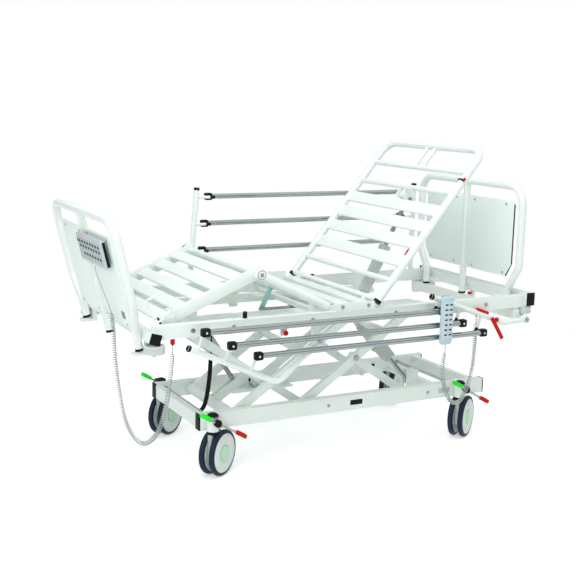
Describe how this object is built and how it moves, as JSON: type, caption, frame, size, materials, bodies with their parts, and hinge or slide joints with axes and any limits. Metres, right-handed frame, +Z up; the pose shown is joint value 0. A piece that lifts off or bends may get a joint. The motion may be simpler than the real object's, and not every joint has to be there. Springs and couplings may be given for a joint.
{
  "type": "hospital bed",
  "caption": "Electric hospital bed without mattress: scissor-lift base on swivel castors, slatted back, thigh and calf sections, folding side rails, head and foot boards, curly-corded controls.",
  "frame": {"origin": "on the floor, below the middle of the bed's box without its cords", "axes": "+X runs from the foot end to the head end, +Y from the near side (hand control, rail down) to the far side, +Z up"},
  "size_m": [2.094, 1.0128, 1.3917],
  "materials": {
    "enamel": "gloss",
    "chrome": "polished",
    "laminate": "satin",
    "grey_plastic": "satin",
    "red_plastic": "satin",
    "tyre": "matte",
    "cord": "satin",
    "black_rubber": "matte"
  },
  "bodies": {
    "chassis": {"chassis_frame": "enamel"},
    "castor_fork_foot_near": {"castor_fork_foot_near": "grey_plastic"},
    "castor_wheel_foot_near": {"castor_wheel_foot_near": "tyre"},
    "castor_fork_foot_far": {"castor_fork_foot_far": "grey_plastic"},
    "castor_wheel_foot_far": {"castor_wheel_foot_far": "tyre"},
    "castor_fork_head_near": {"castor_fork_head_near": "grey_plastic"},
    "castor_wheel_head_near": {"castor_wheel_head_near": "tyre"},
    "castor_fork_head_far": {"castor_fork_head_far": "grey_plastic"},
    "castor_wheel_head_far": {"castor_wheel_head_far": "tyre"},
    "brake_foot": {"brake_shaft_foot": "chrome"},
    "brake_head": {"brake_shaft_head": "chrome"},
    "head_links": {"head_links": "enamel"},
    "head_arms": {"head_arms": "enamel"},
    "platform": {"platform_frame": "enamel", "control_box": "grey_plastic", "knee_motor_housing": "grey_plastic", "head_board_frame": "enamel", "head_panel_near": "laminate", "head_panel_far": "laminate", "foot_board_frame": "enamel", "foot_panel_near": "laminate", "foot_panel_far": "laminate", "nurse_panel": "grey_plastic", "nurse_cord": "cord", "handset_cord": "cord", "lift_hose": "black_rubber", "nurse_plug": "red_plastic", "handset_plug": "red_plastic"},
    "foot_arms": {"foot_arms": "enamel"},
    "foot_links": {"foot_links": "enamel"},
    "foot_motor_housing": {"foot_lift_motor_housing": "grey_plastic"},
    "foot_motor_rod": {"foot_lift_motor_rod": "chrome"},
    "head_motor_housing": {"head_lift_motor_housing": "grey_plastic"},
    "head_motor_rod": {"head_lift_motor_rod": "chrome"},
    "bumper_roller_foot_near": {"bumper_roller_foot_near": "grey_plastic"},
    "bumper_roller_foot_far": {"bumper_roller_foot_far": "grey_plastic"},
    "bumper_roller_head_near": {"bumper_roller_head_near": "grey_plastic"},
    "bumper_roller_head_far": {"bumper_roller_head_far": "grey_plastic"},
    "back_carriage": {"back_carriage": "enamel"},
    "back_section": {"back_section": "enamel"},
    "back_motor_housing": {"back_motor_housing": "grey_plastic"},
    "back_motor_rod": {"back_motor_rod": "chrome"},
    "thigh_section": {"thigh_section": "enamel"},
    "calf_section": {"calf_section": "enamel"},
    "knee_motor_rod": {"knee_motor_rod": "chrome"},
    "rail_foot_arm_near": {"rail_arm_foot_near": "enamel"},
    "rail_head_arm_near": {"rail_arm_head_near": "enamel"},
    "rail_tube_top_near": {"rail_tube_top_near": "chrome", "hand_control": "grey_plastic"},
    "rail_tube_middle_near": {"rail_tube_middle_near": "chrome"},
    "rail_tube_bottom_near": {"rail_tube_bottom_near": "chrome"},
    "rail_release_near": {"rail_release_near": "red_plastic"},
    "rail_foot_arm_far": {"rail_arm_foot_far": "enamel"},
    "rail_head_arm_far": {"rail_arm_head_far": "enamel"},
    "rail_tube_top_far": {"rail_tube_top_far": "chrome"},
    "rail_tube_middle_far": {"rail_tube_middle_far": "chrome"},
    "rail_tube_bottom_far": {"rail_tube_bottom_far": "chrome"},
    "rail_release_far": {"rail_release_far": "red_plastic"},
    "pull_knob_foot": {"pull_knob_foot": "red_plastic"},
    "pull_knob_head": {"pull_knob_head": "red_plastic"}
  },
  "joints": [
    {"name": "castor_swivel_foot_near", "type": "hinge", "parent": "chassis", "child": "castor_fork_foot_near", "pos_m": [-0.55803, -0.28244, 0.226], "axis": [0, 0, 1], "continuous": true},
    {"name": "castor_roll_foot_near", "type": "hinge", "parent": "castor_fork_foot_near", "child": "castor_wheel_foot_near", "pos_m": [-0.52526, -0.2595, 0.1], "axis": [-0.5736, 0.8192, 0], "continuous": true},
    {"name": "castor_swivel_foot_far", "type": "hinge", "parent": "chassis", "child": "castor_fork_foot_far", "pos_m": [-0.55803, 0.31756, 0.226], "axis": [0, 0, 1], "continuous": true},
    {"name": "castor_roll_foot_far", "type": "hinge", "parent": "castor_fork_foot_far", "child": "castor_wheel_foot_far", "pos_m": [-0.52526, 0.3405, 0.1], "axis": [-0.5736, 0.8192, 0], "continuous": true},
    {"name": "castor_swivel_head_near", "type": "hinge", "parent": "chassis", "child": "castor_fork_head_near", "pos_m": [0.72697, -0.28244, 0.226], "axis": [0, 0, 1], "continuous": true},
    {"name": "castor_roll_head_near", "type": "hinge", "parent": "castor_fork_head_near", "child": "castor_wheel_head_near", "pos_m": [0.75974, -0.2595, 0.1], "axis": [-0.5736, 0.8192, 0], "continuous": true},
    {"name": "castor_swivel_head_far", "type": "hinge", "parent": "chassis", "child": "castor_fork_head_far", "pos_m": [0.72697, 0.31756, 0.226], "axis": [0, 0, 1], "continuous": true},
    {"name": "castor_roll_head_far", "type": "hinge", "parent": "castor_fork_head_far", "child": "castor_wheel_head_far", "pos_m": [0.75974, 0.3405, 0.1], "axis": [-0.5736, 0.8192, 0], "continuous": true},
    {"name": "brake_turn_foot", "type": "hinge", "parent": "chassis", "child": "brake_foot", "pos_m": [-0.55803, 0.01756, 0.25], "axis": [0, 1, 0], "range_deg": [-50, 0]},
    {"name": "brake_turn_head", "type": "hinge", "parent": "chassis", "child": "brake_head", "pos_m": [0.72697, 0.01756, 0.25], "axis": [0, 1, 0], "range_deg": [-50.5, 0.5]},
    {"name": "lift", "type": "hinge", "parent": "chassis", "child": "head_links", "pos_m": [0.47097, 0.01756, 0.235], "axis": [0, 1, 0], "range_deg": [-15, 6]},
    {"name": "head_arm_lift", "type": "hinge", "parent": "head_links", "child": "head_arms", "pos_m": [0.18198, 0.01756, 0.43066], "axis": [0, 1, 0], "range_deg": [-12.24, 30.6]},
    {"name": "platform_lift", "type": "hinge", "parent": "head_arms", "child": "platform", "pos_m": [0.47097, 0.01756, 0.62633], "axis": [0, 1, 0], "range_deg": [-15.3, 6.12], "deforming": ["lift_hose"]},
    {"name": "foot_arm_lift", "type": "hinge", "parent": "chassis", "child": "foot_arms", "pos_m": [-0.43303, 0.01756, 0.235], "axis": [0, 1, 0], "range_deg": [-6.12, 15.3]},
    {"name": "foot_link_lift", "type": "hinge", "parent": "platform", "child": "foot_links", "pos_m": [-0.65103, 0.01756, 0.62633], "axis": [0, 1, 0], "range_deg": [-15.3, 6.12]},
    {"name": "foot_motor_tilt", "type": "hinge", "parent": "platform", "child": "foot_motor_housing", "pos_m": [-0.52803, 0.01756, 0.62503], "axis": [0, 1, 0], "range_deg": [-16, 6.4]},
    {"name": "foot_motor_push", "type": "slide", "parent": "foot_motor_housing", "child": "foot_motor_rod", "axis": [0.5584, 0, -0.8295], "range_m": [-0.08872, 0.03549]},
    {"name": "head_motor_tilt", "type": "hinge", "parent": "head_arms", "child": "head_motor_housing", "pos_m": [0.34208, 0.01756, 0.53906], "axis": [0, 1, 0], "range_deg": [-30, 12]},
    {"name": "head_motor_push", "type": "slide", "parent": "head_motor_housing", "child": "head_motor_rod", "axis": [0.6667, 0, -0.7453], "range_m": [-0.07118, 0.02847]},
    {"name": "bumper_turn_foot_near", "type": "hinge", "parent": "platform", "child": "bumper_roller_foot_near", "pos_m": [-0.86103, -0.39244, 0.60853], "axis": [0, 0, 1], "continuous": true},
    {"name": "bumper_turn_foot_far", "type": "hinge", "parent": "platform", "child": "bumper_roller_foot_far", "pos_m": [-0.86103, 0.42756, 0.60853], "axis": [0, 0, 1], "continuous": true},
    {"name": "bumper_turn_head_near", "type": "hinge", "parent": "platform", "child": "bumper_roller_head_near", "pos_m": [1.00297, -0.36644, 0.62753], "axis": [0, 0, 1], "continuous": true},
    {"name": "bumper_turn_head_far", "type": "hinge", "parent": "platform", "child": "bumper_roller_head_far", "pos_m": [1.00297, 0.40156, 0.62753], "axis": [0, 0, 1], "continuous": true},
    {"name": "back_shift", "type": "slide", "parent": "platform", "child": "back_carriage", "axis": [1, 0, 0], "range_m": [-0.13432, 0.03204]},
    {"name": "back_raise", "type": "hinge", "parent": "back_carriage", "child": "back_section", "pos_m": [0.18497, 0.01756, 0.72803], "axis": [0, -1, 0], "range_deg": [-50.3, 12]},
    {"name": "back_motor_tilt", "type": "hinge", "parent": "back_carriage", "child": "back_motor_housing", "pos_m": [0.34297, 0.01756, 0.66503], "axis": [0, -1, 0], "range_deg": [-60.16, 14.35]},
    {"name": "back_motor_push", "type": "slide", "parent": "back_motor_housing", "child": "back_motor_rod", "axis": [0.4666, 0, 0.8844], "range_m": [-0.12655, 0.03019]},
    {"name": "thigh_raise", "type": "hinge", "parent": "platform", "child": "thigh_section", "pos_m": [-0.08303, 0.01756, 0.72503], "axis": [0, 1, 0], "range_deg": [-25.7, 0]},
    {"name": "calf_fold", "type": "hinge", "parent": "thigh_section", "child": "calf_section", "pos_m": [-0.3939, 0.01756, 0.87464], "axis": [0, 1, 0], "range_deg": [0, 48.54]},
    {"name": "knee_motor_push", "type": "slide", "parent": "platform", "child": "knee_motor_rod", "axis": [-1, 0, 0], "range_m": [-0.05258, 0]},
    {"name": "rail_raise_near", "type": "hinge", "parent": "platform", "child": "rail_foot_arm_near", "pos_m": [-0.13803, -0.42444, 0.59003], "axis": [0, 1, 0], "range_deg": [0, 70]},
    {"name": "rail_head_turn_near", "type": "hinge", "parent": "platform", "child": "rail_head_arm_near", "pos_m": [0.97797, -0.42444, 0.59003], "axis": [0, 1, 0], "range_deg": [0, 71.4]},
    {"name": "rail_tube_turn_top_near", "type": "hinge", "parent": "rail_foot_arm_near", "child": "rail_tube_top_near", "pos_m": [-0.66087, -0.45944, 0.67391], "axis": [0, 1, 0], "range_deg": [-71.4, 0]},
    {"name": "rail_tube_turn_middle_near", "type": "hinge", "parent": "rail_foot_arm_near", "child": "rail_tube_middle_near", "pos_m": [-0.54555, -0.45944, 0.61065], "axis": [0, 1, 0], "range_deg": [-71.4, 0]},
    {"name": "rail_tube_turn_bottom_near", "type": "hinge", "parent": "rail_foot_arm_near", "child": "rail_tube_bottom_near", "pos_m": [-0.42681, -0.45944, 0.55679], "axis": [0, 1, 0], "range_deg": [-71.4, 0]},
    {"name": "rail_release_turn_near", "type": "hinge", "parent": "rail_head_arm_near", "child": "rail_release_near", "pos_m": [0.79429, -0.42444, 0.6058], "axis": [0, 1, 0], "range_deg": [0, 25]},
    {"name": "rail_lower_far", "type": "hinge", "parent": "platform", "child": "rail_foot_arm_far", "pos_m": [-0.13803, 0.45956, 0.59003], "axis": [0, -1, 0], "range_deg": [0, 70]},
    {"name": "rail_head_turn_far", "type": "hinge", "parent": "platform", "child": "rail_head_arm_far", "pos_m": [0.97797, 0.45956, 0.59003], "axis": [0, -1, 0], "range_deg": [0, 71.4]},
    {"name": "rail_tube_turn_top_far", "type": "hinge", "parent": "rail_foot_arm_far", "child": "rail_tube_top_far", "pos_m": [-0.23803, 0.49456, 1.11003], "axis": [0, -1, 0], "range_deg": [-71.4, 0]},
    {"name": "rail_tube_turn_middle_far", "type": "hinge", "parent": "rail_foot_arm_far", "child": "rail_tube_middle_far", "pos_m": [-0.25803, 0.49456, 0.98003], "axis": [0, -1, 0], "range_deg": [-71.4, 0]},
    {"name": "rail_tube_turn_bottom_far", "type": "hinge", "parent": "rail_foot_arm_far", "child": "rail_tube_bottom_far", "pos_m": [-0.26803, 0.49456, 0.85003], "axis": [0, -1, 0], "range_deg": [-71.4, 0]},
    {"name": "rail_release_turn_far", "type": "hinge", "parent": "rail_head_arm_far", "child": "rail_release_far", "pos_m": [0.92997, 0.45956, 0.76803], "axis": [0, 1, 0], "range_deg": [0, 25]},
    {"name": "pull_knob_foot_pull", "type": "slide", "parent": "platform", "child": "pull_knob_foot", "axis": [0, -1, 0], "range_m": [0, 0.01]},
    {"name": "pull_knob_head_pull", "type": "slide", "parent": "platform", "child": "pull_knob_head", "axis": [-1, 0, 0], "range_m": [0, 0.01]}
  ],
  "couplings": [
    {"joint": "brake_turn_head", "follows": "brake_turn_foot", "ratio": 1},
    {"joint": "head_arm_lift", "follows": "lift", "ratio": -2},
    {"joint": "platform_lift", "follows": "lift", "ratio": 1},
    {"joint": "foot_arm_lift", "follows": "lift", "ratio": -1},
    {"joint": "foot_link_lift", "follows": "lift", "ratio": 1},
    {"joint": "foot_motor_tilt", "follows": "lift", "ratio": 1.0459},
    {"joint": "foot_motor_push", "follows": "lift", "m_per_rad": 0.33224},
    {"joint": "head_motor_tilt", "follows": "lift", "ratio": 1.9607},
    {"joint": "head_motor_push", "follows": "lift", "m_per_rad": 0.26656},
    {"joint": "back_shift", "follows": "back_raise", "m_per_rad": 0.15},
    {"joint": "back_motor_tilt", "follows": "back_raise", "ratio": 1.1726},
    {"joint": "back_motor_push", "follows": "back_raise", "m_per_rad": 0.14132},
    {"joint": "calf_fold", "follows": "thigh_raise", "ratio": -1.8794},
    {"joint": "knee_motor_push", "follows": "thigh_raise", "m_per_rad": 0.11492},
    {"joint": "rail_head_turn_near", "follows": "rail_raise_near", "ratio": 1},
    {"joint": "rail_tube_turn_top_near", "follows": "rail_raise_near", "ratio": -1},
    {"joint": "rail_tube_turn_middle_near", "follows": "rail_raise_near", "ratio": -1},
    {"joint": "rail_tube_turn_bottom_near", "follows": "rail_raise_near", "ratio": -1},
    {"joint": "rail_head_turn_far", "follows": "rail_lower_far", "ratio": 1},
    {"joint": "rail_tube_turn_top_far", "follows": "rail_lower_far", "ratio": -1},
    {"joint": "rail_tube_turn_middle_far", "follows": "rail_lower_far", "ratio": -1},
    {"joint": "rail_tube_turn_bottom_far", "follows": "rail_lower_far", "ratio": -1}
  ]
}
